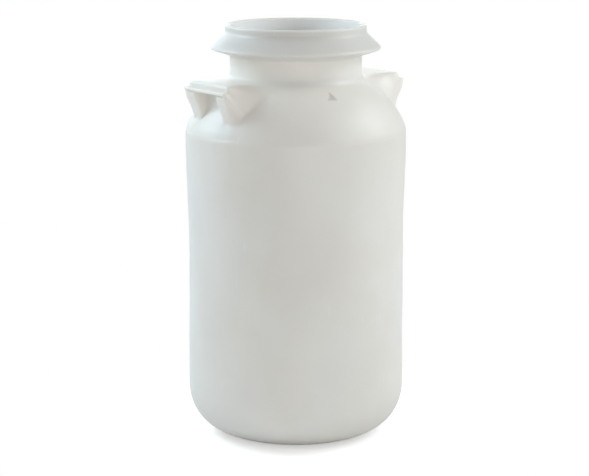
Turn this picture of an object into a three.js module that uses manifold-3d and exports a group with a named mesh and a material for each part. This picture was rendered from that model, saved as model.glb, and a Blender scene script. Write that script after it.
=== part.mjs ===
// A 40 litre plastic milk drum: one moulded piece with an open mouth, a pouring collar and two hand grips.
// Millimetres, +Z up. The origin is the centre of the base, and the two grips face along X.
import * as THREE from 'three';
import { mergeVertices } from 'three/addons/utils/BufferGeometryUtils.js';
import Module from 'manifold-3d';

// Whole drum
const WALL = 4;
const SIDES = 60;
const RIM_HEIGHT = 629;

// Body: a round-cornered foot, a slight waist and the widest band just below the shoulder
const FOOT_RADIUS = 166;
const FOOT_CORNER = 71;
const BASE_RECESS_RADIUS = 60;
const BASE_RECESS_DEPTH = 5;
const WAIST_RADIUS = 164.3;
const WAIST_HEIGHT = 300;
const BAND_RADIUS = 168;
const BAND_BOTTOM = 450;
const BAND_TOP = 466;

// Shoulder: a dome whose section is a superellipse between the band and the neck
const DOME_RISE = 80;
const DOME_POWER = 1.45;
const DOME_END_ANGLE = 78;

// Neck and mouth
const NECK_RADIUS = 100;
const NECK_FILLET = 10;
const NECK_FILLET_SLOPE = 0.3;
const COLLAR_RADIUS = 128.3;
const COLLAR_EDGE_HEIGHT = 594.4;
const COLLAR_EDGE_ROUND = 3;
const COLLAR_UNDERSIDE_HEIGHT = 583;
const COLLAR_TOP_RADIUS = 110.3;
const COLLAR_TOP_HEIGHT = 613.5;
const RIM_BAND_RADIUS = 106.7;
const RIM_BAND_BOTTOM = 618.5;
const RIM_ROUND = 3.3;

// Hand grips: a level ledge from the neck, with a thin lip, carried by a leg at each end
const GRIP_HALF_WIDTH = 54;
const GRIP_ROOT = 70;
const GRIP_TOP = 549.5;
const LEDGE_REACH = 158.5;
const LEDGE_ROUND = 4;
const LIP_REACH = 168;
const LIP_TOP = 541;
const LIP_BOTTOM = 536;
const LIP_ROUND = 2;
const LEG_REACH = 167;
const LEG_FOOT_REACH = 146;
const LEG_FOOT_HEIGHT = 480;
const GRIP_CORNER = 4;

// Finger pocket between the legs, with a flat sloping floor that widens below the legs' feet
const POCKET_HALF_WIDTH = 27;
const POCKET_FOOT_HALF_WIDTH = 41;
const POCKET_END_HALF_WIDTH = 48;
const POCKET_WAIST_HEIGHT = 498;
const POCKET_FOOT_HEIGHT = 485;
const POCKET_END_HEIGHT = 476;
const POCKET_BACK_REACH = 143;
const POCKET_FLOOR_TOP = 512;
const POCKET_FLOOR_REACH = 168;
const POCKET_FLOOR_BOTTOM = 466;
const POCKET_FLOOR_RUN = 66;
const POCKET_BACK_ROUND = 6;
const POCKET_FLOOR_ROUND = 9;
const CLEAR_OUTSIDE = 200;
const CLEAR_ABOVE = 10;

// Small triangular marks at the foot of the neck, about midway between the grips
const MARK_SIZE = 17;
const MARK_DEPTH = 2;
const MARK_RADIUS = 122;
const MARK_TURN = -10;

const wasm = await Module();
wasm.setup();

const point = (radius, height) => new THREE.Vector2(radius, height);

// Points of an arc about (radius, height), angles in degrees from the outward direction
function arc(radius, height, round, from, to, steps) {
  return Array.from({ length: steps + 1 }, (_, i) => {
    const angle = THREE.MathUtils.degToRad(from + ((to - from) * i) / steps);
    return point(radius + round * Math.cos(angle), height + round * Math.sin(angle));
  });
}

// A rounded corner from start to end, bending toward corner
function blend(start, corner, end, steps) {
  return new THREE.QuadraticBezierCurve(start, corner, end).getPoints(steps);
}

// A point of the shoulder dome, by its angle up from the band, shifted in and down by inset
function domePoint(angle, inset) {
  const reach = BAND_RADIUS - NECK_RADIUS;
  const across = Math.cos(angle) ** (2 / DOME_POWER);
  const up = Math.sin(angle) ** (2 / DOME_POWER);
  return point(NECK_RADIUS - inset + reach * across, BAND_TOP + (DOME_RISE - inset) * up);
}

// The dome's points from the band up to where the neck's fillet begins
function dome(inset, steps) {
  const last = THREE.MathUtils.degToRad(DOME_END_ANGLE);
  return Array.from({ length: steps + 1 }, (_, i) => domePoint((last * i) / steps, inset));
}

// The body's side, from the top of the foot's corner to the top of the band
function side(inset, steps) {
  const points = [point(FOOT_RADIUS - inset, FOOT_CORNER)];
  for (let i = 0; i <= steps; i += 1) {
    const t = i / steps;
    const eased = THREE.MathUtils.smoothstep(t, 0, 1);
    const radius = THREE.MathUtils.lerp(WAIST_RADIUS, BAND_RADIUS, eased) - inset;
    points.push(point(radius, THREE.MathUtils.lerp(WAIST_HEIGHT, BAND_BOTTOM, t)));
  }
  return points;
}

// The bottom and its rounded corner: the recess in the middle, the flat ring and the corner
function bottom(inset, steps) {
  const ringStart = BASE_RECESS_RADIUS + BASE_RECESS_DEPTH;
  const corner = arc(FOOT_RADIUS - FOOT_CORNER, FOOT_CORNER, FOOT_CORNER - inset, -90, 0, steps);
  return [
    point(0, BASE_RECESS_DEPTH + inset),
    point(BASE_RECESS_RADIUS, BASE_RECESS_DEPTH + inset),
    point(ringStart, inset),
    ...corner.slice(0, -1),
  ];
}

// The concave fillet at the foot of the neck
function neckFoot(inset, steps) {
  const start = dome(inset, 1).at(-1);
  const radius = NECK_RADIUS - inset;
  const corner = point(radius, start.y + NECK_FILLET * NECK_FILLET_SLOPE);
  return blend(start, corner, point(radius, corner.y + NECK_FILLET), steps).slice(1);
}

function outerProfile() {
  const crestRadius = RIM_BAND_RADIUS - RIM_ROUND;
  const rimShoulder = RIM_HEIGHT - RIM_ROUND;
  const edgeRadius = COLLAR_RADIUS - COLLAR_EDGE_ROUND;
  return [
    ...bottom(0, 9),
    ...side(0, 4),
    ...dome(0, 10),
    ...neckFoot(0, 3),
    point(NECK_RADIUS, COLLAR_UNDERSIDE_HEIGHT),
    ...arc(edgeRadius, COLLAR_EDGE_HEIGHT, COLLAR_EDGE_ROUND, -80, 50, 4),
    point(COLLAR_TOP_RADIUS, COLLAR_TOP_HEIGHT),
    point(RIM_BAND_RADIUS, RIM_BAND_BOTTOM),
    ...arc(crestRadius, rimShoulder, RIM_ROUND, 0, 90, 3),
    point(0, RIM_HEIGHT),
  ];
}

function cavityProfile() {
  const crestRadius = RIM_BAND_RADIUS - RIM_ROUND;
  const rimShoulder = RIM_HEIGHT - RIM_ROUND;
  const boreRadius = NECK_RADIUS - WALL;
  return [
    ...bottom(WALL, 6),
    ...side(WALL, 2),
    ...dome(WALL, 6),
    point(boreRadius, BAND_TOP + DOME_RISE),
    point(boreRadius, COLLAR_UNDERSIDE_HEIGHT),
    ...arc(crestRadius, rimShoulder, RIM_ROUND, 180, 90, 3),
    point(crestRadius, RIM_HEIGHT + WALL),
    point(0, RIM_HEIGHT + WALL),
  ];
}

// A closed three.js geometry as a solid that can be joined and cut
function solid(geometry) {
  const bare = geometry.index ? geometry.clone() : geometry;
  bare.deleteAttribute('normal');
  bare.deleteAttribute('uv');
  const merged = mergeVertices(bare, 1e-4);
  return new wasm.Manifold(
    new wasm.Mesh({
      numProp: 3,
      vertProperties: new Float32Array(merged.attributes.position.array),
      triVerts: new Uint32Array(merged.index.array),
    }),
  );
}

// The solid as a three.js geometry with flat faces
function toGeometry(manifold) {
  const mesh = manifold.getMesh();
  const geometry = new THREE.BufferGeometry();
  geometry.setAttribute('position', new THREE.BufferAttribute(mesh.vertProperties, 3));
  geometry.setIndex(new THREE.BufferAttribute(mesh.triVerts, 1));
  geometry.computeVertexNormals();
  return geometry;
}

// A profile of (radius, height) points turned about Z
function turned(profile) {
  const geometry = new THREE.LatheGeometry(profile, SIDES);
  geometry.rotateX(Math.PI / 2);
  return solid(geometry);
}

// A section of (reach, height) points run along Y over width, then turned about Z
function ridge(section, width, turn) {
  const geometry = new THREE.ExtrudeGeometry(new THREE.Shape(section), {
    depth: width,
    bevelEnabled: false,
    curveSegments: 1,
  });
  geometry.translate(0, 0, -width / 2);
  geometry.rotateX(Math.PI / 2);
  geometry.rotateZ(turn);
  return solid(geometry);
}

// The grip's side section: ledge, step, lip and the legs' sloping outer face
function gripSection() {
  const lipFace = point(LIP_REACH, (LIP_TOP + LIP_BOTTOM) / 2);
  return [
    point(GRIP_ROOT, LEG_FOOT_HEIGHT),
    point(LEG_FOOT_REACH, LEG_FOOT_HEIGHT),
    point(LEG_REACH, LIP_BOTTOM),
    ...blend(point(LIP_REACH - LIP_ROUND / 2, LIP_BOTTOM), point(LIP_REACH, LIP_BOTTOM), lipFace, 2),
    ...blend(lipFace, point(LIP_REACH, LIP_TOP), point(LIP_REACH - LIP_ROUND, LIP_TOP), 2).slice(1),
    point(LEDGE_REACH, LIP_TOP),
    ...blend(
      point(LEDGE_REACH, GRIP_TOP - LEDGE_ROUND),
      point(LEDGE_REACH, GRIP_TOP),
      point(LEDGE_REACH - LEDGE_ROUND, GRIP_TOP),
      2,
    ),
    point(GRIP_ROOT, GRIP_TOP),
  ];
}

// The grip's outline from above, with rounded outer corners
function gripPlan() {
  const plan = new THREE.Shape();
  plan.moveTo(0, -GRIP_HALF_WIDTH);
  plan.lineTo(LIP_REACH - GRIP_CORNER, -GRIP_HALF_WIDTH);
  plan.quadraticCurveTo(LIP_REACH, -GRIP_HALF_WIDTH, LIP_REACH, GRIP_CORNER - GRIP_HALF_WIDTH);
  plan.lineTo(LIP_REACH, GRIP_HALF_WIDTH - GRIP_CORNER);
  plan.quadraticCurveTo(LIP_REACH, GRIP_HALF_WIDTH, LIP_REACH - GRIP_CORNER, GRIP_HALF_WIDTH);
  plan.lineTo(0, GRIP_HALF_WIDTH);
  return plan;
}

function grip(turn) {
  const geometry = new THREE.ExtrudeGeometry(gripPlan(), {
    depth: GRIP_TOP - LEG_FOOT_HEIGHT + 2,
    bevelEnabled: false,
    curveSegments: 3,
  });
  geometry.translate(0, 0, LEG_FOOT_HEIGHT - 1);
  geometry.rotateZ(turn);
  const block = ridge(gripSection(), 2 * GRIP_HALF_WIDTH + 2, turn);
  return block.intersect(solid(geometry));
}

// The pocket's side section, larger all round by grow: ceiling, back wall and the floor sloping outward
function pocketSection(grow) {
  const slope = Math.atan2(POCKET_FLOOR_TOP - POCKET_FLOOR_BOTTOM, POCKET_FLOOR_REACH - POCKET_BACK_REACH);
  const top = LIP_BOTTOM + grow;
  const backReach = POCKET_BACK_REACH - grow;
  const drop = grow / Math.cos(slope) - grow * Math.tan(slope);
  const floorTop = point(backReach, POCKET_FLOOR_TOP - drop);
  const along = point(Math.cos(slope), -Math.sin(slope));
  const floorEnd = floorTop.clone().addScaledVector(along, POCKET_FLOOR_RUN);
  return [
    point(CLEAR_OUTSIDE, top),
    ...blend(
      point(backReach + POCKET_BACK_ROUND, top),
      point(backReach, top),
      point(backReach, top - POCKET_BACK_ROUND),
      2,
    ),
    ...blend(
      point(backReach, floorTop.y + POCKET_FLOOR_ROUND),
      floorTop,
      floorTop.clone().addScaledVector(along, POCKET_FLOOR_ROUND),
      3,
    ),
    floorEnd,
    point(CLEAR_OUTSIDE, floorEnd.y),
  ];
}

// The pocket's outline from the front, larger all round by grow, as a block that runs out along +X
function pocketFront(grow) {
  const outline = [
    [POCKET_HALF_WIDTH, LIP_BOTTOM + CLEAR_ABOVE],
    [POCKET_HALF_WIDTH, POCKET_WAIST_HEIGHT],
    [POCKET_FOOT_HALF_WIDTH, POCKET_FOOT_HEIGHT],
    [POCKET_END_HALF_WIDTH, POCKET_END_HEIGHT],
    [POCKET_END_HALF_WIDTH, POCKET_FLOOR_BOTTOM - POCKET_FLOOR_RUN],
  ];
  const right = outline.map(([half, height]) => point(half + grow, height));
  const left = outline.map(([half, height]) => point(-half - grow, height)).reverse();
  const geometry = new THREE.ExtrudeGeometry(new THREE.Shape([...right, ...left]), {
    depth: CLEAR_OUTSIDE,
    bevelEnabled: false,
  });
  geometry.rotateX(Math.PI / 2);
  geometry.rotateZ(Math.PI / 2);
  return geometry;
}

// The finger pocket, larger all round by grow where it shapes the wall behind it
function pocket(turn, grow) {
  const front = pocketFront(grow);
  front.rotateZ(turn);
  const width = 2 * (POCKET_END_HALF_WIDTH + grow) + 2;
  return ridge(pocketSection(grow), width, turn).intersect(solid(front));
}

// A shallow triangle cut square to the dome, apex toward the neck, near +Y before its turn about Z
function mark(turn) {
  const across = ((MARK_RADIUS - NECK_RADIUS) / (BAND_RADIUS - NECK_RADIUS)) ** (DOME_POWER / 2);
  const angle = Math.acos(across);
  const middle = domePoint(angle, 0);
  const above = domePoint(angle + 0.02, 0);
  const tilt = Math.atan2(above.y - middle.y, middle.x - above.x);
  const outline = new THREE.Shape([
    point(-MARK_SIZE / 2, -MARK_SIZE / 2),
    point(MARK_SIZE / 2, -MARK_SIZE / 2),
    point(0, MARK_SIZE / 2),
  ]);
  const geometry = new THREE.ExtrudeGeometry(outline, { depth: 4 * MARK_DEPTH, bevelEnabled: false });
  geometry.translate(0, 0, -MARK_DEPTH);
  geometry.rotateX(tilt);
  geometry.rotateZ(Math.PI);
  geometry.translate(0, middle.x, middle.y);
  geometry.rotateZ(turn + THREE.MathUtils.degToRad(MARK_TURN));
  return solid(geometry);
}

function drumGeometry() {
  const turns = [0, Math.PI];
  let outside = turned(outerProfile());
  let inside = turned(cavityProfile());
  for (const turn of turns) {
    outside = outside.add(grip(turn)).subtract(pocket(turn, 0)).subtract(mark(turn));
    inside = inside.subtract(pocket(turn, WALL));
  }
  return toGeometry(outside.subtract(inside));
}

const group = new THREE.Group();
const drum = new THREE.Mesh(
  drumGeometry(),
  new THREE.MeshStandardMaterial({ color: '#d9d9d3', roughness: 0.45, metalness: 0 }),
);
drum.name = 'drum';
group.add(drum);

export default group;
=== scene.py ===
"""A 40 litre plastic milk drum: one moulded skin with a collar and two hand grips, in a pale studio."""

import math

import bpy
import numpy as np
from bpy.props import FloatProperty, FloatVectorProperty, PointerProperty
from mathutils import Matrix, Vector


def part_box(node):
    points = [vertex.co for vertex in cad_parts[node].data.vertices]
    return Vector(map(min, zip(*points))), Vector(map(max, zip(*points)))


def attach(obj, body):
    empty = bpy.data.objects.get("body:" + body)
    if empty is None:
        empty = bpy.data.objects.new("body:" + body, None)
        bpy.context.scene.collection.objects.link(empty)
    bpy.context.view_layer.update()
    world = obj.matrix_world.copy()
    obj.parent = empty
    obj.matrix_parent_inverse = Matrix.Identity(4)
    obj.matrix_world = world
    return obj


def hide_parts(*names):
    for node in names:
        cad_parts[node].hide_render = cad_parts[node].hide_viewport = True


bl_info = {
    "name": "Milk drum",
    "version": (1, 0, 0),
    "blender": (4, 5, 0),
    "location": "3D View > Sidebar > Milk Drum",
    "description": "Builds a moulded plastic milk drum and the pale studio that it stands in",
    "category": "Add Mesh",
}

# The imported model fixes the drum's overall size
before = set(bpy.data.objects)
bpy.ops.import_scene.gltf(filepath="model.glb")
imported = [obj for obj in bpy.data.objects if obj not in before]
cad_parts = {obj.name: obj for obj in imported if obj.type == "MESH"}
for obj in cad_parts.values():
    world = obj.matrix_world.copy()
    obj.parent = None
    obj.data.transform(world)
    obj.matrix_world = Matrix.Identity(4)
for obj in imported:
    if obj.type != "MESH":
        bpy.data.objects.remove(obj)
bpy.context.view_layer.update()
DRUM_LOW, DRUM_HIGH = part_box("drum")
BAND_RADIUS = DRUM_HIGH[1]
RIM_HEIGHT = DRUM_HIGH[2]

# The photograph's width and the camera's focal length in pixels, and the sensor's width in millimetres
PHOTO_WIDTH = 589
FOCAL_PIXELS = 2000.0
SENSOR_WIDTH = 36.0

# The power of the shoulder's superellipse, and how far out from the neck its curve starts
DOME_POWER = 1.45
SHOULDER_GAP = 0.007

# Polyethylene bends light a little, lets some through, and has a faint sheen
PLASTIC_FINISH = {
    "IOR": 1.51,
    "Coat Weight": 0.12,
    "Coat Roughness": 0.26,
    "Specular IOR Level": 0.5,
    "Subsurface Weight": 0.8,
    "Subsurface Radius": (1.0, 0.98, 0.95),
    "Subsurface Scale": 0.008,
}

# The floor's side, how much light it gives back, and the strength of the light from all round
FLOOR_SIZE = 16.0
FLOOR_WHITE = 0.83
WORLD_LIGHT = 0.51

# The soft lights: name, place as the camera sees it, aim, width and height, watts and tint
MIDDLE = (0.0, 0.0, 0.4)
COOL, PALE, WHITE = (0.70, 0.88, 1.0), (0.90, 0.97, 1.0), (1.0, 0.98, 0.95)
SOFT_BOXES = (
    ("left box", (-1.1, -0.2, 1.12), (0.0, 0.0, 0.5), (0.6, 0.6), 9.2, COOL),
    ("right box", (1.7, -0.1, 1.5), MIDDLE, (1.2, 1.2), 19.0, PALE),
    ("front box", (0.6, 3.0, 0.15), MIDDLE, (2.0, 0.8), 17.0, WHITE),
    ("back box", (-0.5, -1.8, 1.0), MIDDLE, (2.4, 1.0), 12.0, PALE),
)


def length(name, description, default):
    """A length property in metres."""
    return FloatProperty(name=name, description=description, default=default, unit="LENGTH", precision=4)


def angle(name, description, degrees):
    """An angle property whose default is given in degrees."""
    return FloatProperty(
        name=name, description=description, default=math.radians(degrees), subtype="ANGLE", unit="ROTATION"
    )


def colour(name, description, default):
    """A linear colour property."""
    return FloatVectorProperty(
        name=name, description=description, default=default, size=3, subtype="COLOR", min=0.0, max=1.0
    )


class DrumSizes(bpy.types.PropertyGroup):
    """Sizes of the turned body, neck and collar"""

    wall: length("Wall", "Thickness of the plastic", 0.004)
    foot_radius: length("Foot radius", "Radius where the foot's round corner ends", 0.166)
    foot_corner: length("Foot corner", "Radius of the foot's round corner", 0.071)
    recess_radius: length("Recess radius", "Radius of the shallow recess under the base", 0.060)
    recess_depth: length("Recess depth", "Depth of the recess under the base", 0.005)
    waist_radius: length("Waist radius", "Smallest radius of the body", 0.1643)
    waist_height: length("Waist height", "Height of the smallest radius", 0.300)
    band_bottom: length("Band bottom", "Height where the widest band starts", 0.450)
    band_top: length("Band top", "Height where the shoulder starts", 0.466)
    dome_rise: length("Dome rise", "Height of the shoulder dome", 0.080)
    neck_radius: length("Neck radius", "Outer radius of the neck", 0.100)
    neck_fillet: length("Neck fillet", "Height of the fillet at the foot of the neck", 0.010)
    collar_radius: length("Collar radius", "Radius of the collar's edge", 0.1283)
    collar_edge_height: length("Collar edge height", "Height of the middle of the collar's edge", 0.5944)
    collar_edge_round: length("Collar edge round", "Half the thickness of the collar's edge", 0.003)
    collar_underside: length("Collar underside", "Height where the collar leaves the neck", 0.583)
    collar_top_radius: length("Collar top radius", "Radius where the collar's slope ends", 0.1103)
    collar_top_height: length("Collar top height", "Height where the collar's slope ends", 0.6135)
    rim_radius: length("Rim radius", "Outer radius of the rim's upright band", 0.1067)
    rim_bottom: length("Rim bottom", "Height where the upright band starts", 0.6185)
    rim_round: length("Rim round", "Radius of the rim's rounded crest", 0.0033)
    sway: length("Sway", "How far the moulded wall strays from its true form", 0.00035)


class GripSizes(bpy.types.PropertyGroup):
    """Sizes of the two hand grips and the pockets between their legs"""

    face_edge: length("Face edge", "Half width of the grip's full section", 0.0535)
    flare_edge: length("Flare edge", "Half width where the grip's sides have run out", 0.078)
    top: length("Top", "Height of the ledge", 0.5495)
    ledge_reach: length("Ledge reach", "Distance of the ledge's edge from the axis", 0.1585)
    ledge_round: length("Ledge round", "Rounding of the ledge's edge", 0.004)
    lip_reach: length("Lip reach", "Distance of the lip's edge from the axis", 0.168)
    lip_top: length("Lip top", "Height of the lip's upper face", 0.541)
    lip_bottom: length("Lip bottom", "Height of the lip's lower face", 0.536)
    lip_round: length("Lip round", "Rounding of the lip's edges", 0.0016)
    groove: length("Groove", "Depth of the groove under the lip", 0.003)
    leg_reach: length("Leg reach", "Distance of the leg's top from the axis", 0.167)
    leg_foot_reach: length("Leg foot reach", "Distance from the axis that the leg's face aims for", 0.146)
    leg_foot: length("Leg foot", "Height that the leg's face aims for", 0.480)
    pocket_edge: length("Pocket edge", "Half width of the pocket between the legs", 0.0265)
    pocket_side: length("Pocket side", "Width over which the pocket's side wall turns", 0.0035)
    pocket_corner: length("Pocket corner", "Rounding of the pocket's back corners", 0.010)
    pocket_back: length("Pocket back", "Distance of the pocket's back wall from the axis", 0.143)
    floor_top: length("Floor top", "Height of the pocket's floor at the back wall", 0.512)
    spread_start: length("Spread start", "Height below which the pocket spreads past its legs", 0.4935)


class MarkSizes(bpy.types.PropertyGroup):
    """Sizes of the small triangular marks at the foot of the neck"""

    radius: length("Radius", "Distance of the mark's middle from the axis", 0.122)
    size: length("Size", "Width and length of the mark", 0.0205)
    depth: length("Depth", "How deep the mark is sunk", 0.0009)
    edge: length("Edge", "Width of the mark's soft edge", 0.0048)
    turn: angle("Turn", "Angle from the +X grip to the mark", 79.0)


class PlasticLook(bpy.types.PropertyGroup):
    """Colours of the natural plastic, with painted shade on the collar and in the marks and painted light in
    the mouth
    """

    clean: colour("Clean", "Colour of the clean plastic", (0.83, 0.805, 0.755))
    aged: colour("Aged", "Colour where the plastic has yellowed a little", (0.795, 0.76, 0.70))
    # Partly painted shade: the collar and rim are darker for their thicker plastic and as painted shade
    thick: colour("Thick", "Colour of the thick plastic of the collar", (0.68, 0.67, 0.64))
    # Painted light: the inside of the mouth is paler, standing in for light let through the wall
    inside: colour("Inside", "Colour of the clean inside of the neck", (0.90, 0.90, 0.89))
    # Painted shade: the sunk marks are darkened to stand in for the shade in their hollows
    mark_shade: colour("Settled", "Colour of the dust settled in the marks", (0.655, 0.635, 0.60))
    scuffed: colour("Scuffed", "Colour of rubbed and scratched plastic", (0.86, 0.86, 0.85))


class StudioLook(bpy.types.PropertyGroup):
    """The camera and the light"""

    azimuth: angle("Azimuth", "Side that the camera looks from", -35.6)
    pitch: angle("Pitch", "How far the camera looks down", 11.5)
    distance: length("Distance", "Level distance from the drum's axis to the camera", 3.02)
    height: length("Height", "Height of the camera", 0.9136)
    side_shift: length("Side shift", "How far the camera stands to the right of the axis", -0.0021)


def smooth(x):
    """Smoothstep: 0 up to 0, 1 from 1, and 3x^2 - 2x^3 between."""
    x = np.clip(x, 0.0, 1.0)
    return x * x * (3.0 - 2.0 * x)


def line(start, end, count):
    """Points evenly along a straight line, without its last point."""
    t = np.arange(count)[:, None] / count
    return np.array(start) + t * (np.array(end) - np.array(start))


def bend(start, corner, end, count):
    """A quadratic curve from start to end, pulled toward corner, without its last point."""
    t = np.arange(count)[:, None] / count
    start, corner, end = (np.array(p) for p in (start, corner, end))
    return (1 - t) ** 2 * start + 2 * t * (1 - t) * corner + t**2 * end


def arc(middle, radius, first, last, count):
    """An arc about middle from one angle to another, in degrees from outward, without its last point."""
    angle = np.radians(first + (last - first) * np.arange(count) / count)
    return np.stack([middle[0] + radius * np.cos(angle), middle[1] + radius * np.sin(angle)], 1)


def dome(radius, sizes, inset=0.0):
    """Height of the shoulder at a radius.

    A superellipse: rise * (1 - u^p)^(1/p) above the band, where u runs from 0 at the neck to 1 at the band.
    """
    reach = BAND_RADIUS - sizes.neck_radius
    u = np.clip((radius + inset - sizes.neck_radius) / reach, 0.0, 1.0)
    return sizes.band_top + (sizes.dome_rise - inset) * (1.0 - u**DOME_POWER) ** (1.0 / DOME_POWER)


def dome_radius(height, sizes):
    """Radius of the shoulder at a height: the superellipse of dome, solved for u."""
    v = np.clip((height - sizes.band_top) / sizes.dome_rise, 0.0, 1.0)
    share = (1.0 - v**DOME_POWER) ** (1.0 / DOME_POWER)
    return sizes.neck_radius + (BAND_RADIUS - sizes.neck_radius) * share


def foot_profile(sizes, inset, count):
    """The base from its centre out, and the round corner up to the side."""
    ring = sizes.recess_radius + sizes.recess_depth
    flat_end = sizes.foot_radius - sizes.foot_corner
    floor = sizes.recess_depth + inset
    ease = 0.002
    recess_edge = (ring, (floor + inset) / 2)
    flat_start = (ring + 3 * ease, inset)
    return np.concatenate([
        line((0.0, floor), (sizes.recess_radius, floor), count),
        bend((sizes.recess_radius, floor), (ring - ease, floor), recess_edge, 3),
        bend(recess_edge, (ring + ease, inset), flat_start, 3),
        line(flat_start, (flat_end, inset), 3),
        arc((flat_end, sizes.foot_corner), sizes.foot_corner - inset, -90.0, 0.0, 2 * count + 8),
    ])


def side_profile(sizes, inset, count):
    """The body's side: straight to the waist, then easing out to the widest band."""
    t = np.arange(count)[:, None] / count
    waist = (sizes.waist_radius - inset, sizes.waist_height)
    lower = line((sizes.foot_radius - inset, sizes.foot_corner), waist, count)
    radius = sizes.waist_radius + (BAND_RADIUS - sizes.waist_radius) * smooth(t) - inset
    height = sizes.waist_height + (sizes.band_bottom - sizes.waist_height) * t
    return np.concatenate([lower, np.concatenate([radius, height], 1)])


def collar_profile(sizes):
    """From the upper neck out under the collar, round its edge and up to the rim's crest."""
    edge = (sizes.collar_radius - sizes.collar_edge_round, sizes.collar_edge_height)
    neck, under = sizes.neck_radius, sizes.collar_underside
    fillet_start = (neck, under - 0.003)
    fillet_end = (neck + 0.004, under + 0.0012)
    edge_start, edge_end = -80.0, 50.0
    underside_end = arc(edge, sizes.collar_edge_round, edge_start, edge_start, 1)[0]
    slope_start = arc(edge, sizes.collar_edge_round, edge_end, edge_end, 1)[0]
    slope_end = np.array((sizes.collar_top_radius, sizes.collar_top_height))
    band_foot = (sizes.rim_radius, sizes.rim_bottom + 0.001)
    crest = (sizes.rim_radius - sizes.rim_round, RIM_HEIGHT - sizes.rim_round)
    return np.concatenate([
        line((neck, under - 0.018), fillet_start, 5),
        bend(fillet_start, (neck, under), fillet_end, 5),
        line(fillet_end, underside_end, 6),
        arc(edge, sizes.collar_edge_round, edge_start, edge_end, 12),
        line(slope_start, slope_end, 12),
        bend(slope_end, (sizes.rim_radius + 0.0003, sizes.rim_bottom - 0.0015), band_foot, 6),
        line(band_foot, (sizes.rim_radius, crest[1]), 3),
        arc(crest, sizes.rim_round, 0.0, 180.0, 16),
    ])


def bore_profile(sizes):
    """The inside of the rim and neck, going down and narrowing by a smooth step inside the collar."""
    rim_inside = sizes.rim_radius - 2 * sizes.rim_round
    bore = sizes.neck_radius - sizes.wall
    step_start = (rim_inside - 0.0005, 0.604)
    step_end = (bore, 0.584)
    return np.concatenate([
        line((rim_inside, RIM_HEIGHT - sizes.rim_round), step_start, 5),
        bend(step_start, (bore, 0.594), step_end, 6),
        line(step_end, (bore, sizes.band_top + sizes.dome_rise + 0.006), 5),
    ])


def shoulder_radii(sizes, counts):
    """Radii of the plain shoulder's points from the neck to the band, closest where a grip needs them.

    Each stretch has even steps, but the last one follows a quarter sine, which closes up toward the band.
    """
    stops = (sizes.neck_radius + SHOULDER_GAP, 0.145, 0.149, 0.157, BAND_RADIUS)
    runs = []
    for first, last, count in zip(stops[:-1], stops[1:], counts):
        t = np.arange(count) / count
        if last == BAND_RADIUS:
            t = np.sin(t * math.pi / 2)
        runs.append(first + t * (last - first))
    return np.concatenate(runs)


# How many points each stretch of the shoulder has, from the neck down to the widest band
FILLET, PLATE, LIP, LEG, FLOOR, BAND = 10, 34, 24, 32, 26, 6
LEDGE_EDGE = FILLET + PLATE
LEG_TOP = LEDGE_EDGE + LIP
LEG_FACE = LEG_TOP + 3
LEG_FOOT = LEG_TOP + LEG
FLOOR_END = LEG_FOOT + FLOOR

# Patches of a grip whose sharp turns are rounded: distances across it, columns, and how many times.
# They are the lip's ends, the pocket's sides, the feet of the legs and the edges of the pocket's floor.
EASED_PATCHES = (
    ((0.0480, 0.0620), (LEG_TOP - 8, LEG_TOP + 6), 5),
    ((0.0240, 0.0320), (LEG_TOP - 3, LEG_FOOT - 6), 3),
    ((0.0225, 0.0400), (LEG_FOOT - 13, LEG_FOOT + 12), 14),
    ((0.0280, 0.0520), (LEG_FOOT, FLOOR_END + 3), 5),
)


def plain_shoulder(sizes):
    """The shoulder away from the grips, as (radius, height) from the upper neck down to the band's foot."""
    start = sizes.neck_radius + SHOULDER_GAP
    start_height = float(dome(start, sizes))
    corner = (sizes.neck_radius, start_height + 0.003)
    top = (sizes.neck_radius, corner[1] + sizes.neck_fillet)
    fillet = bend(top, corner, (start, start_height), FILLET)
    radii = shoulder_radii(sizes, (PLATE, LIP, LEG, FLOOR))
    curved = np.stack([radii, dome(radii, sizes)], 1)
    band = line((BAND_RADIUS, sizes.band_top), (BAND_RADIUS, sizes.band_bottom), BAND)
    return np.concatenate([fillet, curved, band])


def in_slice(radius, across):
    """Distance along the grip's direction of a point at a radius, in the slice at a distance across."""
    return np.sqrt(np.maximum(radius[None, :] ** 2 - across[:, None] ** 2, 0.0))


def ease_corners(section, passes, first, last):
    """Rounds a section's corners between two columns: each point becomes 1/4, 1/2, 1/4 of three in a row."""
    for _ in range(passes):
        middle = 0.25 * section[:, :-2] + 0.5 * section[:, 1:-1] + 0.25 * section[:, 2:]
        section[:, first:last] = middle[:, first - 1 : last - 1]
    return section


def floor_radius(height, sizes, grip):
    """Distance from the axis of the pocket's floor at a height.

    A cone that runs out to the widest band, and that swells toward the dome in its lower part.
    """
    slope = (BAND_RADIUS - grip.pocket_back) / (grip.floor_top - sizes.band_top)
    cone = grip.pocket_back + (grip.floor_top - height) * slope
    swell_top, swell_depth, swell_share = 0.500, 0.022, 0.7
    swell = swell_share * smooth((swell_top - height) / swell_depth)
    return cone + swell * (dome_radius(height, sizes) - cone)


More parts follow.
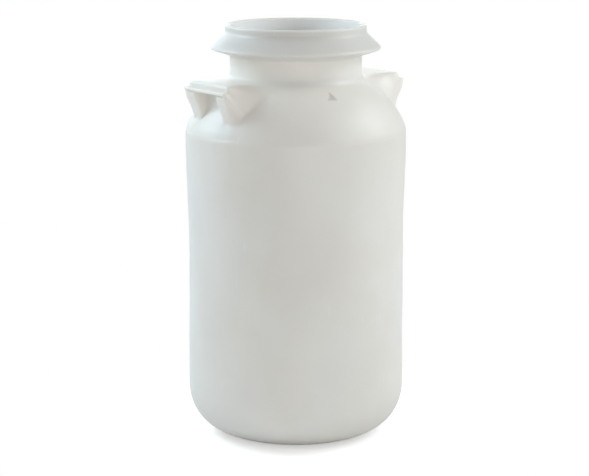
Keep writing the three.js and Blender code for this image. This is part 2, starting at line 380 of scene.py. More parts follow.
def leg_shoulder(sizes, grip, plain, across):
    """The grip's section where a leg stands under it: neck, ledge, step, lip, groove, sloping face and dome.

    Each row is a slice at one distance across the grip, as (reach, height) along the shoulder's columns.
    The leg's face is a straight line that gives way to the dome where the dome stands further out.
    """
    section = np.empty((len(across), len(plain), 2))
    section[..., 0] = in_slice(plain[:, 0], across)
    section[..., 1] = plain[:, 1]
    rise = smooth(np.arange(FILLET) / FILLET)
    lifted = plain[:FILLET, 1] + rise * (grip.top - plain[FILLET, 1])
    section[:, :FILLET, 1] = np.maximum(lifted, grip.top)
    t = np.arange(PLATE) / PLATE
    ledge_end = grip.ledge_reach - grip.ledge_round
    reach_start = section[:, FILLET : FILLET + 1, 0]
    section[:, FILLET:LEDGE_EDGE, 0] = reach_start + t * (ledge_end - reach_start)
    section[:, FILLET:LEDGE_EDGE, 1] = grip.top
    round_end = (grip.ledge_reach, grip.top - grip.ledge_round)
    step_foot = (grip.ledge_reach + 0.0004, grip.lip_top + 0.0004)
    lip_face = (grip.lip_reach, (grip.lip_top + grip.lip_bottom) / 2)
    lip_start = (grip.lip_reach - grip.lip_round, grip.lip_top)
    lip_end = (grip.lip_reach - grip.lip_round, grip.lip_bottom)
    groove_top = (grip.leg_reach - grip.groove, grip.lip_bottom + 0.0002)
    groove_foot = (groove_top[0], grip.lip_bottom - 0.0022)
    section[:, LEDGE_EDGE:LEG_TOP] = np.concatenate([
        bend((ledge_end, grip.top), (grip.ledge_reach, grip.top), round_end, 7),
        line(round_end, step_foot, 3),
        line(step_foot, lip_start, 4),
        bend(lip_start, (grip.lip_reach, grip.lip_top), lip_face, 5),
        bend(lip_face, (grip.lip_reach, grip.lip_bottom), lip_end, 3),
        line(lip_end, groove_top, 2),
    ])
    section[:, LEG_TOP:LEG_FACE] = line(groove_top, groove_foot, 3)
    groove_end, groove_fade = 0.044, 0.008
    closed = smooth((np.abs(across) - groove_end) / groove_fade)[:, None]
    section[:, LEG_TOP - 1 : LEG_FACE, 0] += grip.groove * closed * np.array((0.5, 1.0, 1.0, 1.0))
    height = leg_heights(sizes, grip)[None, :]
    lean = (grip.leg_reach - grip.leg_foot_reach) / (grip.lip_bottom - grip.leg_foot)
    face = grip.leg_reach - lean * (grip.lip_bottom - height)
    body = np.sqrt(dome_radius(height, sizes) ** 2 - across[:, None] ** 2)
    section[:, LEG_FACE:FLOOR_END, 0] = np.maximum(face, body)
    section[:, LEG_FACE:FLOOR_END, 1] = height
    return ease_corners(section, 3, LEG_FACE + 4, FLOOR_END)


def leg_heights(sizes, grip):
    """Heights of the columns down the leg's face and then down the dome beside the pocket's floor."""
    face_start = grip.lip_bottom - 0.0036
    t = np.arange(LEG_FOOT - LEG_FACE) / (LEG_FOOT - LEG_FACE)
    u = np.arange(FLOOR) / FLOOR
    down_leg = face_start + t * (grip.spread_start - face_start)
    return np.concatenate([down_leg, grip.spread_start + u * (sizes.band_top - grip.spread_start)])


def pocket_hollow(sizes, grip, back):
    """The pocket's section for one distance of its back wall: ceiling, wall, rounded foot and upper floor."""
    slope = (grip.floor_top - sizes.band_top) / (BAND_RADIUS - grip.pocket_back)
    foot = np.array((back, grip.floor_top - (back - grip.pocket_back) * slope))
    along = np.array((1.0, -slope)) / math.hypot(1.0, slope)
    top_round, foot_round = 0.005, 0.006
    ceiling_start = (grip.leg_reach - grip.groove, grip.lip_bottom)
    ceiling_end = (back + top_round, grip.lip_bottom)
    wall_start = (back, grip.lip_bottom - top_round)
    wall_end = foot + (0.0, foot_round)
    floor_start = foot + foot_round * along
    floor_end = (floor_radius(grip.spread_start, sizes, grip), grip.spread_start)
    return np.concatenate([
        line(ceiling_start, ceiling_end, 8),
        bend(ceiling_end, (back, grip.lip_bottom), wall_start, 5),
        line(wall_start, wall_end, 6),
        bend(wall_end, foot, floor_start, 8),
        line(floor_start, floor_end, LEG - 27),
    ])


def pocket_shoulder(sizes, grip, leg, across):
    """The grip's section between its legs: as the leg's down to the lip, then the finger pocket.

    The ledge's underside runs in to the back wall, whose corners are rounded in plan by a quarter circle. The
    floor is a cone about the drum's axis that runs out to the widest band.
    """
    section = leg.copy()
    corner = grip.pocket_corner
    past = np.clip(np.abs(across) - (grip.pocket_edge + grip.pocket_side / 2 - corner), 0.0, corner)
    shift = (1.0 - np.sqrt(np.maximum(1.0 - (past / corner) ** 2, 0.0)))[:, None, None]
    deep = pocket_hollow(sizes, grip, grip.pocket_back)
    shallow = pocket_hollow(sizes, grip, grip.pocket_back + corner)
    section[:, LEG_TOP:LEG_FOOT] = deep + shift * (shallow - deep)
    height = leg_heights(sizes, grip)[None, LEG_FOOT - LEG_FACE :]
    section[:, LEG_FOOT:FLOOR_END, 0] = floor_radius(height, sizes, grip)
    section[:, LEG_FOOT:FLOOR_END, 1] = height
    turned = slice(LEG_TOP + 8, FLOOR_END)
    section[:, turned, 0] *= np.sqrt(1.0 - (across[:, None] / section[:, turned, 0]) ** 2)
    return ease_corners(section, 2, LEG_FOOT - 4, FLOOR_END + 4)


def pocket_half_width(height, grip):
    """Half width of the pocket at a height: narrow between the legs, spreading below, round at the foot."""
    return np.interp(
        height,
        (0.4655, 0.4680, 0.4720, 0.4760, 0.4850, grip.spread_start + 0.0045),
        (0.0330, 0.0415, 0.0455, 0.0460, 0.0390, grip.pocket_edge),
    )


def grip_shares(sizes, grip, across):
    """How far each point of a slice follows the leg's section and the pocket's, from 0 to 1.

    The leg's share falls from 1 to 0 over the flare, crisply as (1 - x)^2 at the lip and softly as a
    smoothstep where the ledge melts into the shoulder and down the leg. The flare's start, end and
    softness are given at a few columns, the stations, and run evenly between them.
    """
    away = np.abs(across)[:, None]
    column = np.arange(FLOOR_END + BAND)
    ledge = (FILLET, FILLET + 20, LEDGE_EDGE - 2, LEDGE_EDGE + 8)
    stations = (*ledge, LEG_TOP - 10, LEG_TOP + 8, LEG_FOOT, FLOOR_END)
    edge, flare = grip.face_edge, grip.flare_edge
    start = np.interp(column, stations, (0.036, 0.042, 0.0495, 0.051, edge, edge, 0.044, 0.040))
    end = np.interp(column, stations, (flare, 0.072, 0.067, 0.066, 0.064, 0.064, 0.064, 0.060))
    softness = np.interp(column, stations, (1.0, 1.0, 0.4, 0.3, 0.0, 0.0, 1.0, 1.0))
    x = np.clip((away - start) / (end - start), 0.0, 1.0)
    crisp, soft = (1.0 - x) ** 2, 1.0 - smooth(x)
    leg = crisp + softness * (soft - crisp)
    half_width = np.full(len(column), grip.pocket_edge)
    height = leg_heights(sizes, grip)
    half_width[LEG_FACE:FLOOR_END] = pocket_half_width(height, grip)
    half_width[FLOOR_END:] = 0.0
    side = np.full(len(column), grip.pocket_side)
    side_gain, gain_top, gain_depth = 0.0075, 0.494, 0.012
    side[LEG_FACE:FLOOR_END] += side_gain * smooth((gain_top - height) / gain_depth)
    pocket = smooth((half_width + side / 2 + grip.pocket_side / 2 - away) / side)
    return leg[..., None], pocket[..., None]


def ease_patch(section, across, edges, columns, passes):
    """The section with one patch's sharp turns rounded, by averaging each point with its eight neighbours.

    The share of the average rises by a smoothstep from 0 at the patch's border to 1 a little inside it.
    """
    away = np.abs(across)[:, None, None]
    column = np.arange(section.shape[1])[None, :, None]
    side_fade, column_fade = 0.002, 3
    share = smooth((away - edges[0]) / side_fade) * smooth((edges[1] - away) / side_fade)
    share = share * smooth((column - columns[0]) / column_fade) * smooth((columns[1] - column) / column_fade)
    for _ in range(passes):
        mean = np.pad(section, ((1, 1), (1, 1), (0, 0)), "edge")
        mean = 0.25 * mean[:-2] + 0.5 * mean[1:-1] + 0.25 * mean[2:]
        mean = 0.25 * mean[:, :-2] + 0.5 * mean[:, 1:-1] + 0.25 * mean[:, 2:]
        section = section + share * (mean - section)
    return section


def ease_flare(section, grip, across):
    """The grip's section with the creases down its flared side faces eased, by averaging along each slice."""
    away = np.abs(across)[:, None, None]
    share = smooth((away - grip.face_edge + 0.001) / 0.006) * smooth((grip.flare_edge - away) / 0.010)
    eased = section.copy()
    for _ in range(8):
        eased[:, 1:-1] = 0.25 * eased[:, :-2] + 0.5 * eased[:, 1:-1] + 0.25 * eased[:, 2:]
    return section + share * (eased - section)


def slice_distances(grip):
    """Distances across one grip where the skin has a row, close together where its walls turn."""
    side_start, side_end = grip.pocket_edge, grip.pocket_edge + grip.pocket_side
    half = np.concatenate([
        np.linspace(0.0, side_start - 0.0115, 5),
        np.linspace(side_start - 0.0095, side_start - 0.0008, 6),
        np.linspace(side_start, side_end, 9),
        np.linspace(side_end + 0.0012, grip.face_edge - 0.001, 15),
        np.linspace(grip.face_edge, grip.flare_edge - 0.012, 11),
        np.linspace(grip.flare_edge - 0.009, grip.flare_edge, 4),
    ])
    return np.concatenate([-half[:0:-1], half])


def plain_fractions(mark, grip):
    """Places between one grip's edge and the next where the skin has a row, close together at the mark."""
    edge = math.asin(grip.flare_edge / mark.radius)
    middle = (mark.turn - edge) / (math.pi - 2 * edge)
    reach, gap = 0.054, 0.001
    coarse = np.linspace(0.0, 1.0, 28)[1:-1]
    fine = middle + np.linspace(-reach, reach, 25)
    coarse = coarse[np.abs(coarse - middle) > reach + gap]
    return np.sort(np.concatenate([coarse, fine]))


def row_angles(radius, across, fractions, edge):
    """Angle about the axis of every row, for each radius: slices over both grips and even steps between.

    In a slice the angle is asin(across / radius). Between the grips it runs from one edge slice to the next.
    """
    slices = np.arcsin(np.clip(across[:, None] / radius[None, :], -1.0, 1.0))
    start = np.arcsin(np.clip(edge / radius, -1.0, 1.0))[None, :]
    between = start + fractions[:, None] * (math.pi - 2.0 * start)
    half = np.concatenate([slices, between])
    return np.concatenate([half, half + math.pi])


def triangle_mark(x, y, mark):
    """Depth of the triangular mark over a plane, x across and y up.

    A smoothstep of the distance in from the nearest of its three sides, over the width of its soft edge.
    """
    half = mark.size / 2
    slope = math.hypot(2.0, 1.0)
    inside_base = (y + half) / mark.edge
    inside_left = (half - y + 2.0 * x) / slope / mark.edge
    inside_right = (half - y - 2.0 * x) / slope / mark.edge
    return mark.depth * smooth(np.minimum(np.minimum(inside_base, inside_left), inside_right))


def sway_of(points, amount):
    """A slow waviness of the moulded wall: a sum of sines of several wavelengths along slanted directions."""
    waves = (
        ((0.9, 0.3, 0.25), 0.13, 0.7, 1.0),
        ((-0.4, 0.8, 0.45), 0.097, 2.1, 0.8),
        ((0.3, -0.5, 0.8), 0.071, 4.0, 0.55),
        ((0.7, 0.7, -0.2), 0.053, 5.2, 0.35),
        ((-0.8, 0.2, 0.6), 0.038, 1.3, 0.2),
    )
    total = np.zeros(points.shape[:-1])
    for direction, wavelength, phase, weight in waves:
        along = points @ (np.array(direction) / np.linalg.norm(direction))
        total += weight * np.sin(2 * math.pi * along / wavelength + phase)
    return amount * total


def grid_normals(points):
    """Unit normals of a grid of points that closes on itself along its rows."""
    along_rows = np.roll(points, -1, axis=0) - np.roll(points, 1, axis=0)
    along_columns = np.gradient(points, axis=1)
    normal = np.cross(along_rows, along_columns)
    size = np.linalg.norm(normal, axis=2, keepdims=True)
    return normal / np.maximum(size, 1e-12)


def turned_points(profile, angles):
    """A profile of (radius, height) points at every row's angle."""
    radius = profile[:, 0]
    return np.stack([
        radius * np.cos(angles),
        radius * np.sin(angles),
        np.broadcast_to(profile[:, 1], angles.shape),
    ], 2)


def outer_shoulder(sizes, grip, mark, across, fractions):
    """The shoulder's points from the upper neck down, with both grips and both marks."""
    plain = plain_shoulder(sizes)
    angles = row_angles(plain[:, 0], across, fractions, grip.flare_edge)
    points = turned_points(plain, angles)
    leg = leg_shoulder(sizes, grip, plain, across)
    pocket = pocket_shoulder(sizes, grip, leg, across)
    leg_share, pocket_share = grip_shares(sizes, grip, across)
    reach = in_slice(plain[:, 0], across)
    height = np.broadcast_to(plain[:, 1], reach.shape)
    plain_slices = np.stack([reach, height], 2)
    section = plain_slices + leg_share * (leg - plain_slices)
    section = section + pocket_share * (pocket - section)
    for edges, columns, passes in EASED_PATCHES:
        section = ease_patch(section, across, edges, columns, passes)
    section = ease_flare(section, grip, across)
    rows = len(across)
    half = len(points) // 2
    for start, sign in ((0, 1.0), (half, -1.0)):
        points[start : start + rows, :, 0] = sign * section[..., 0]
        points[start : start + rows, :, 1] = sign * across[:, None]
        points[start : start + rows, :, 2] = section[..., 1]
    middle_height = float(dome(mark.radius, sizes))
    step = 0.001
    tilt = math.atan2(float(dome(mark.radius - step, sizes)) - middle_height, step)
    for turn in (mark.turn, mark.turn + math.pi):
        outward = np.array((math.cos(turn), math.sin(turn), 0.0))
        across_mark = np.array((-math.sin(turn), math.cos(turn), 0.0))
        away = points - (outward * mark.radius + np.array((0.0, 0.0, middle_height)))
        up = away @ (np.array((0.0, 0.0, 1.0)) * math.sin(tilt) - outward * math.cos(tilt))
        depth = triangle_mark(away @ across_mark, up, mark)
        near = np.linalg.norm(away, axis=2) < 2 * mark.size
        lean = outward * math.sin(tilt) + np.array((0.0, 0.0, math.cos(tilt)))
        points -= (depth * near)[..., None] * lean
    return points


def inner_shoulder(sizes, grip, across, fractions):
    """The wall behind the shoulder, going down, which steps in behind each pocket.

    Its radii follow a quarter sine, and behind a pocket they are cut back to a wall's thickness from it.
    """
    start = sizes.neck_radius - sizes.wall + 0.006
    count = 26
    t = np.arange(count) / count
    radius = start + np.sin(t * math.pi / 2) * (BAND_RADIUS - sizes.wall - start)
    profile = np.stack([radius, dome(radius, sizes, sizes.wall)], 1)
    angles = row_angles(radius, across, fractions, grip.flare_edge)
    points = turned_points(profile, angles)
    slope = (grip.floor_top - sizes.band_top) / (BAND_RADIUS - grip.pocket_back)
    floor = floor_radius(profile[:, 1], sizes, grip) - sizes.wall * math.hypot(1.0, 1.0 / slope)
    limit = np.maximum(floor, grip.pocket_back - sizes.wall)
    away = np.abs(across)
    step_reach, step_width = 0.012, 0.008
    share = smooth((grip.pocket_edge + step_reach - away) / step_width)[:, None]
    rows = len(across)
    half = len(points) // 2
    for first in (0, half):
        reach = np.abs(points[first : first + rows, :, 0])
        cut = np.maximum(reach - limit[None, :], 0.0) * share
        sign = np.sign(points[first : first + rows, :, 0])
        points[first : first + rows, :, 0] = sign * (reach - cut)
    return points


def drum_points(sizes, grip, mark):
    """The whole skin as a grid: rows go round the axis, columns run from the base over the rim and inside."""
    across = slice_distances(grip)
    fractions = plain_fractions(mark, grip)
    band = np.array([BAND_RADIUS])
    neck = np.array([sizes.neck_radius])
    low_angles = row_angles(band, across, fractions, grip.flare_edge)
    high_angles = row_angles(neck, across, fractions, grip.flare_edge)

    def turned_low(profile):
        return turned_points(profile, np.broadcast_to(low_angles, (len(low_angles), len(profile))))

    def turned_high(profile):
        return turned_points(profile, np.broadcast_to(high_angles, (len(high_angles), len(profile))))

    shoulder = outer_shoulder(sizes, grip, mark, across, fractions)[:, ::-1]
    outside = np.concatenate([
        turned_low(foot_profile(sizes, 0.0, 6)[1:]),
        turned_low(side_profile(sizes, 0.0, 10)),
        shoulder,
        turned_high(collar_profile(sizes)),
    ], 1)
    sway = sway_of(outside, sizes.sway)[..., None] * sway_share(outside, sizes)
    swayed = outside + sway * grid_normals(outside)
    inside = np.concatenate([
        turned_high(bore_profile(sizes)),
        inner_shoulder(sizes, grip, across, fractions),
        turned_low(side_profile(sizes, sizes.wall, 7)[::-1]),
        turned_low(foot_profile(sizes, sizes.wall, 4)[:0:-1]),
    ], 1)
    return np.concatenate([swayed, inside], 1)


def sway_share(points, sizes):
    """Where the skin may sway: not on the flat base ring or the rim's crest, and less on the collar."""
    height = points[..., 2]
    above_floor = smooth(height / 0.03)
    below_collar = 1.0 - 0.7 * smooth((height - sizes.collar_underside + 0.02) / 0.02)
    radius = np.linalg.norm(points[..., :2], axis=2)
    inside_box = smooth((BAND_RADIUS - 0.0002 - radius) / 0.0012)
    below_crest = smooth((RIM_HEIGHT - 0.0006 - height) / 0.006)
    return (above_floor * below_collar * inside_box * below_crest)[..., None]


def closed_grid(name, points, low_pole, high_pole):
    """A mesh from a grid that closes round its rows, with a fan of triangles to a pole at each end."""
    rows, columns = points.shape[:2]
    vertices = np.concatenate([points.reshape(-1, 3), [low_pole, high_pole]])
    index = np.arange(rows * columns).reshape(rows, columns)
    ahead = np.roll(index, -1, axis=0)
    quads = np.stack([index[:, :-1], ahead[:, :-1], ahead[:, 1:], index[:, 1:]], 2).reshape(-1, 4)
    low = np.full(rows, rows * columns)
    high = low + 1
    low_fan = np.stack([low, ahead[:, 0], index[:, 0]], 1)
    high_fan = np.stack([high, index[:, -1], ahead[:, -1]], 1)
    faces = quads.tolist() + low_fan.tolist() + high_fan.tolist()
    mesh = bpy.data.meshes.new(name)
    mesh.from_pydata(vertices.tolist(), [], faces)
    mesh.shade_smooth()
    piece = bpy.data.objects.new(name, mesh)
    bpy.context.scene.collection.objects.link(piece)
    return piece


def shader_group(name, inputs, outputs):
    """An empty shader node group with the named float inputs and outputs."""
    group = bpy.data.node_groups.new(name, "ShaderNodeTree")
    for socket, kind, default in inputs:
        made = group.interface.new_socket(socket, in_out="INPUT", socket_type=kind)
        if default is not None:
            made.default_value = default
    for socket, kind in outputs:
        group.interface.new_socket(socket, in_out="OUTPUT", socket_type=kind)
    return group


def node(tree, kind, **values):
    """A new node with its settings and unlinked inputs filled in."""
    made = tree.nodes.new(kind)
    for key, value in values.items():
        if key in made.inputs:
            made.inputs[key].default_value = value
        else:
            setattr(made, key, value)
    return made


def join(tree, output, target):
    """Links one socket to another."""
    tree.links.new(output, target)


def ramp(tree, source, low, high):
    """Maps a value from low..high to 0..1 with smooth ends."""
    made = node(tree, "ShaderNodeMapRange", interpolation_type="SMOOTHSTEP")
    made.inputs["From Min"].default_value = low
    made.inputs["From Max"].default_value = high
    join(tree, source, made.inputs["Value"])
    return made.outputs["Result"]


def multiply(tree, first, second):
    """The product of a socket and a socket or number."""
    made = node(tree, "ShaderNodeMath", operation="MULTIPLY")
    join(tree, first, made.inputs[0])
    if isinstance(second, (int, float)):
        made.inputs[1].default_value = second
    else:
        join(tree, second, made.inputs[1])
    return made.outputs[0]


def add(tree, first, second):
    """The sum of two sockets."""
    made = node(tree, "ShaderNodeMath", operation="ADD")
    join(tree, first, made.inputs[0])
    join(tree, second, made.inputs[1])
    return made.outputs[0]


def moulded_grain_group():
    """Height of a moulded surface: fine orange peel over soft patches."""
    group = shader_group(
        "moulded grain",
        [
            ("Vector", "NodeSocketVector", None),
            ("Peel", "NodeSocketFloat", 420.0),
            ("Patch", "NodeSocketFloat", 38.0),
        ],
        [("Height", "NodeSocketFloat")],
    )
    start = group.nodes.new("NodeGroupInput")
    end = group.nodes.new("NodeGroupOutput")
    peel = node(group, "ShaderNodeTexNoise", Detail=2.0, Roughness=0.5)
    patch = node(group, "ShaderNodeTexNoise", Detail=3.0, Roughness=0.55)
    join(group, start.outputs["Vector"], peel.inputs["Vector"])
    join(group, start.outputs["Vector"], patch.inputs["Vector"])
    join(group, start.outputs["Peel"], peel.inputs["Scale"])
    join(group, start.outputs["Patch"], patch.inputs["Scale"])
    fine = multiply(group, peel.outputs["Fac"], 0.12)
    join(group, add(group, fine, patch.outputs["Fac"]), end.inputs["Height"])
    return group


def scuff_group():
    """A mask of short rubbed scratches and worn patches."""
    group = shader_group(
        "scuffs",
        [("Vector", "NodeSocketVector", None), ("Amount", "NodeSocketFloat", 0.5)],
        [("Mask", "NodeSocketFloat")],
    )
    start = group.nodes.new("NodeGroupInput")
    end = group.nodes.new("NodeGroupOutput")
    stretched = node(group, "ShaderNodeMapping", vector_type="POINT")
    stretched.inputs["Scale"].default_value = (1.0, 1.0, 0.12)
    stretched.inputs["Rotation"].default_value = (0.35, 0.2, 0.0)
    join(group, start.outputs["Vector"], stretched.inputs["Vector"])
    lines = node(group, "ShaderNodeTexNoise", Scale=260.0, Detail=3.0, Roughness=0.6)
    join(group, stretched.outputs["Vector"], lines.inputs["Vector"])
    where = node(group, "ShaderNodeTexNoise", Scale=9.0, Detail=2.0, Roughness=0.5)
    join(group, start.outputs["Vector"], where.inputs["Vector"])
    fine = ramp(group, lines.outputs["Fac"], 0.60, 0.72)
    patch = ramp(group, where.outputs["Fac"], 0.50, 0.68)
    both = multiply(group, fine, patch)
    join(group, multiply(group, both, start.outputs["Amount"]), end.inputs["Mask"])
    return group


def placed_group(tree, group, **values):
    """A node group placed in a material with its own values."""
    made = tree.nodes.new("ShaderNodeGroup")
    made.node_tree = group
    for key, value in values.items():
        made.inputs[key].default_value = value
    return made


def mix_colour(tree, share, first, second):
    """A mix of two colours by a share; each colour is a socket or a plain colour."""
    made = node(tree, "ShaderNodeMix", data_type="RGBA")
    join(tree, share, made.inputs["Factor"])
    for name, value in (("A", first), ("B", second)):
        socket = next(s for s in made.inputs if s.name == name and s.type == "RGBA")
        if isinstance(value, bpy.types.NodeSocket):
            join(tree, value, socket)
        else:
            socket.default_value = (*value, 1.0)
    return next(s for s in made.outputs if s.type == "RGBA")


def near_mark(tree, place, mark):
    """Share of painted shade, which falls from 1 in the middle of either triangular mark to 0 outside it.

    Along the mark's radius and beside it, the place's distances are taken without their sign, which gives
    both marks at once. The share is the product of one soft step at the slanting sides and one at the base.
    """
    along = (math.cos(mark.turn), math.sin(mark.turn))
    beside = (-math.sin(mark.turn), math.cos(mark.turn))
    offsets = tree.nodes.new("ShaderNodeCombineXYZ")
    for axis, direction in zip(("X", "Y"), (along, beside)):
        distance = node(tree, "ShaderNodeVectorMath", operation="DOT_PRODUCT")
        distance.inputs[1].default_value = (*direction, 0.0)
        join(tree, place, distance.inputs[0])
        size = node(tree, "ShaderNodeMath", operation="ABSOLUTE")
        join(tree, distance.outputs["Value"], size.inputs[0])
        join(tree, size.outputs["Value"], offsets.inputs[axis])
    half, soft = mark.size / 2, 0.3 * mark.size
    flat = 0.85
    side = node(tree, "ShaderNodeVectorMath", operation="DOT_PRODUCT")
    side.inputs[1].default_value = (-1.0 / flat, 2.0, 0.0)
    join(tree, offsets.outputs["Vector"], side.inputs[0])
    limit = half - mark.radius / flat
    sides = ramp(tree, side.outputs["Value"], limit + 0.15 * soft, limit - soft)
    foot = node(tree, "ShaderNodeVectorMath", operation="DOT_PRODUCT")
    foot.inputs[1].default_value = (1.0, 0.0, 0.0)
    join(tree, offsets.outputs["Vector"], foot.inputs[0])
    base = mark.radius + flat * half
    return multiply(tree, sides, ramp(tree, foot.outputs["Value"], base, base - 0.5 * soft))


def natural_plastic(look, mark):
    """Natural polyethylene: milky and semi-matt, a little yellowed in patches and rubbed paler by hands.

    The collar is painted a deeper colour, for its thicker plastic and as painted shade; the inside of the
    mouth is painted paler, as painted light let through the wall; and painted shade darkens the sunk marks.
    """
    material = bpy.data.materials.new("natural plastic")
    material.use_nodes = True
    tree = material.node_tree
    plastic = tree.nodes["Principled BSDF"]
    place = tree.nodes.new("ShaderNodeTexCoord").outputs["Object"]
    aged = node(tree, "ShaderNodeTexNoise", Scale=7.0, Detail=4.0, Roughness=0.55)
    join(tree, place, aged.inputs["Vector"])
    scuffs = placed_group(tree, scuff_group(), Amount=0.6)
    join(tree, place, scuffs.inputs["Vector"])
    grain = placed_group(tree, moulded_grain_group())
    join(tree, place, grain.inputs["Vector"])
    yellowed = ramp(tree, aged.outputs["Fac"], 0.35, 0.75)
    body = mix_colour(tree, yellowed, tuple(look.clean), tuple(look.aged))
    split = tree.nodes.new("ShaderNodeSeparateXYZ")
    join(tree, place, split.inputs[0])
    level = node(tree, "ShaderNodeVectorMath", operation="MULTIPLY")
    level.inputs[1].default_value = (1.0, 1.0, 0.0)
    join(tree, place, level.inputs[0])
    radius = node(tree, "ShaderNodeVectorMath", operation="LENGTH")
    join(tree, level.outputs["Vector"], radius.inputs[0])
    # The collar is high up: outside the bore, thick plastic and painted shade; inside, painted light
    collar = ramp(tree, split.outputs["Z"], 0.574, 0.600)
    outside = ramp(tree, radius.outputs["Value"], 0.1002, 0.1022)
    # Painted shade, with the thicker plastic: the collar and rim outside the bore are painted darker all
    # round
    thicker_and_shaded_collar = mix_colour(tree, multiply(tree, collar, outside), body, tuple(look.thick))
    # Painted light: the mouth's inside above the neck is painted paler than the plastic
    bore = ramp(tree, radius.outputs["Value"], 0.1002, 0.1000)
    painted_collar_and_bore = mix_colour(tree, multiply(tree, collar, bore), thicker_and_shaded_collar, tuple(look.inside))
    # The marks are on the shoulder only, so their painted shade stops short of the collar above them
    shoulder = ramp(tree, split.outputs["Z"], 0.560, 0.550)
    marked = multiply(tree, shoulder, near_mark(tree, place, mark))
    # Painted shade: the sunk marks are painted darker all over
    mark_shade = mix_colour(tree, marked, painted_collar_and_bore, tuple(look.mark_shade))
    finished = mix_colour(tree, scuffs.outputs["Mask"], mark_shade, tuple(look.scuffed))
    join(tree, finished, plastic.inputs["Base Color"])
    sheen = node(tree, "ShaderNodeMapRange")
    sheen.inputs["To Min"].default_value = 0.40
    sheen.inputs["To Max"].default_value = 0.50
    join(tree, aged.outputs["Fac"], sheen.inputs["Value"])
    rubbed = multiply(tree, scuffs.outputs["Mask"], 0.18)
    join(tree, add(tree, sheen.outputs["Result"], rubbed), plastic.inputs["Roughness"])
    bump = node(tree, "ShaderNodeBump", Strength=0.25, Distance=0.0006)
    join(tree, grain.outputs["Height"], bump.inputs["Height"])
    join(tree, bump.outputs["Normal"], plastic.inputs["Normal"])
    for name, value in PLASTIC_FINISH.items():
        plastic.inputs[name].default_value = value
    return material


def floor_white(value):
    """Matt white that fades to plain white away from the drum, so that only a contact shadow is seen."""
    material = bpy.data.materials.new("studio floor")
    material.use_nodes = True
    tree = material.node_tree
    surface = tree.nodes["Principled BSDF"]
    surface.inputs["Base Color"].default_value = (value, value, value, 1.0)
    surface.inputs["Roughness"].default_value = 0.9
    surface.inputs["Specular IOR Level"].default_value = 0.1
    place = tree.nodes.new("ShaderNodeTexCoord").outputs["Object"]
    reach = node(tree, "ShaderNodeVectorMath", operation="LENGTH")
    join(tree, place, reach.inputs[0])
    far = ramp(tree, reach.outputs["Value"], 0.20, 0.42)
    path = tree.nodes.new("ShaderNodeLightPath")
    lift = multiply(tree, path.outputs["Is Camera Ray"], 0.45)
    join(tree, lift, surface.inputs["Emission Strength"])
    surface.inputs["Emission Color"].default_value = (1.0, 1.0, 1.0, 1.0)
    share = multiply(tree, far, path.outputs["Is Camera Ray"])
    white = node(tree, "ShaderNodeEmission", Color=(1.0, 1.0, 1.0, 1.0), Strength=1.0)
    choose = tree.nodes.new("ShaderNodeMixShader")
    join(tree, share, choose.inputs["Fac"])
    join(tree, surface.outputs["BSDF"], choose.inputs[1])
    join(tree, white.outputs["Emission"], choose.inputs[2])
    join(tree, choose.outputs["Shader"], tree.nodes["Material Output"].inputs["Surface"])
    return material


def studio_world(strength):
    """Soft white light from all round; the camera sees it as plain white."""
    world = bpy.data.worlds.new("studio")
    bpy.context.scene.world = world
    world.use_nodes = True
    tree = world.node_tree
    light = tree.nodes["Background"]
    light.inputs["Color"].default_value = (1.0, 1.0, 1.0, 1.0)
    light.inputs["Strength"].default_value = strength
    seen = node(tree, "ShaderNodeBackground", Color=(1.0, 1.0, 1.0, 1.0), Strength=1.0)
    path = tree.nodes.new("ShaderNodeLightPath")
    choose = tree.nodes.new("ShaderNodeMixShader")
    join(tree, path.outputs["Is Camera Ray"], choose.inputs["Fac"])
    join(tree, light.outputs["Background"], choose.inputs[1])
    join(tree, seen.outputs["Background"], choose.inputs[2])
    join(tree, choose.outputs["Shader"], tree.nodes["World Output"].inputs["Surface"])


def from_camera(studio, side, toward, height):
    """A place given from the drum as seen by the camera: to its right, toward the camera, and up."""
    a = studio.azimuth
    right = Vector((math.cos(a), math.sin(a), 0.0))
    near = Vector((math.sin(a), -math.cos(a), 0.0))
    return right * side + near * toward + Vector((0.0, 0.0, height))


def soft_box(name, place, aim, size, power, tint):
    """A rectangular soft light at a place, turned to face a point."""
    light = bpy.data.lights.new(name, "AREA")
    light.shape = "RECTANGLE"
    light.size, light.size_y = size
    light.energy = power
    light.color = tint
    lamp = bpy.data.objects.new(name, light)
    lamp.location = place
    lamp.rotation_mode = "QUATERNION"
    lamp.rotation_quaternion = (Vector(aim) - Vector(place)).to_track_quat("-Z", "Y")
    bpy.context.scene.collection.objects.link(lamp)


def studio_floor(size):
    """A wide pale floor: one face that lies a hair below the drum's base."""
    mesh = bpy.data.meshes.new("studio_floor")
    half, gap = size / 2, 0.0002
    level = DRUM_LOW[2] - gap
    corners = [(-half, -half, level), (half, -half, level), (half, half, level), (-half, half, level)]
    mesh.from_pydata(corners, [], [(0, 1, 2, 3)])
    floor = bpy.data.objects.new("studio_floor", mesh)
    bpy.context.scene.collection.objects.link(floor)
    return floor


class DRUM_OT_skin(bpy.types.Operator):
    """Makes the drum's moulded skin in place of the plain solid"""

    bl_idname = "drum.skin"
    bl_label = "Drum Skin"

    def execute(self, context):
        scene = context.scene
        sizes, grip, mark = scene.drum_sizes, scene.drum_grip, scene.drum_mark
        points = drum_points(sizes, grip, mark)
        low_pole = (0.0, 0.0, sizes.recess_depth)
        high_pole = (0.0, 0.0, sizes.recess_depth + sizes.wall)
        skin = closed_grid("drum_skin", points, low_pole, high_pole)
        skin.data.materials.append(natural_plastic(scene.drum_plastic, scene.drum_mark))
        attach(skin, "root")
        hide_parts("drum")
        return {"FINISHED"}


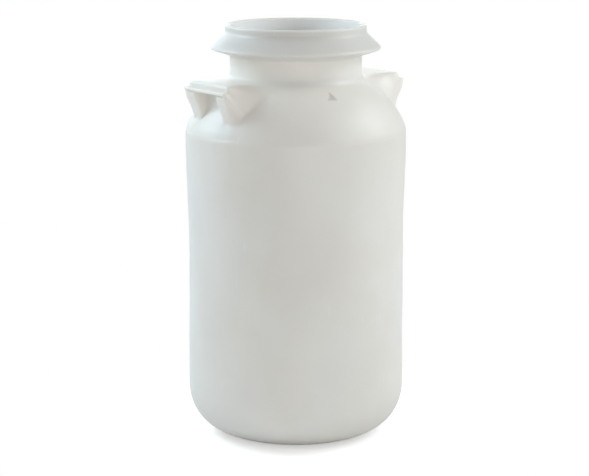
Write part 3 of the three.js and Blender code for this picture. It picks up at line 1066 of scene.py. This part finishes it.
class DRUM_OT_stage(bpy.types.Operator):
    """Sets up the pale floor, the soft lights and the camera"""

    bl_idname = "drum.stage"
    bl_label = "Studio"

    def execute(self, context):
        scene = context.scene
        studio = scene.drum_studio
        scene.view_settings.view_transform = "Standard"
        scene.view_settings.look = "None"
        floor = studio_floor(FLOOR_SIZE)
        floor.data.materials.append(floor_white(FLOOR_WHITE))
        studio_world(WORLD_LIGHT)
        for name, place, aim, size, power, tint in SOFT_BOXES:
            soft_box(name, from_camera(studio, *place), aim, size, power, tint)
        camera = bpy.data.objects.new("camera", bpy.data.cameras.new("camera"))
        camera.data.sensor_width = SENSOR_WIDTH
        camera.data.lens = SENSOR_WIDTH * FOCAL_PIXELS / PHOTO_WIDTH
        camera.location = from_camera(studio, studio.side_shift, studio.distance, studio.height)
        camera.rotation_euler = (math.pi / 2 - studio.pitch, 0.0, studio.azimuth)
        scene.collection.objects.link(camera)
        scene.camera = camera
        return {"FINISHED"}


class DRUM_PT_panel(bpy.types.Panel):
    """Lists the drum's settings and the steps that make it"""

    bl_idname = "DRUM_PT_panel"
    bl_label = "Milk Drum"
    bl_space_type = "VIEW_3D"
    bl_region_type = "UI"
    bl_category = "Milk Drum"

    def draw(self, context):
        scene = context.scene
        for settings in SETTINGS:
            group = getattr(scene, settings)
            box = self.layout.box()
            for name in group.__annotations__:
                box.prop(group, name)
        for operator in (DRUM_OT_stage, DRUM_OT_skin):
            self.layout.operator(operator.bl_idname)


SETTINGS = {
    "drum_sizes": DrumSizes,
    "drum_grip": GripSizes,
    "drum_mark": MarkSizes,
    "drum_plastic": PlasticLook,
    "drum_studio": StudioLook,
}
CLASSES = (*SETTINGS.values(), DRUM_OT_skin, DRUM_OT_stage, DRUM_PT_panel)


def register():
    """Registers the classes and the scene's settings."""
    for each in CLASSES:
        bpy.utils.register_class(each)
    for name, group in SETTINGS.items():
        setattr(bpy.types.Scene, name, PointerProperty(type=group))


def unregister():
    """Takes the settings and classes away again."""
    for name in SETTINGS:
        delattr(bpy.types.Scene, name)
    for each in reversed(CLASSES):
        bpy.utils.unregister_class(each)


def main():
    """Makes the stage and the drum."""
    register()
    bpy.ops.drum.stage()
    bpy.ops.drum.skin()


if __name__ == "__main__":
    main()
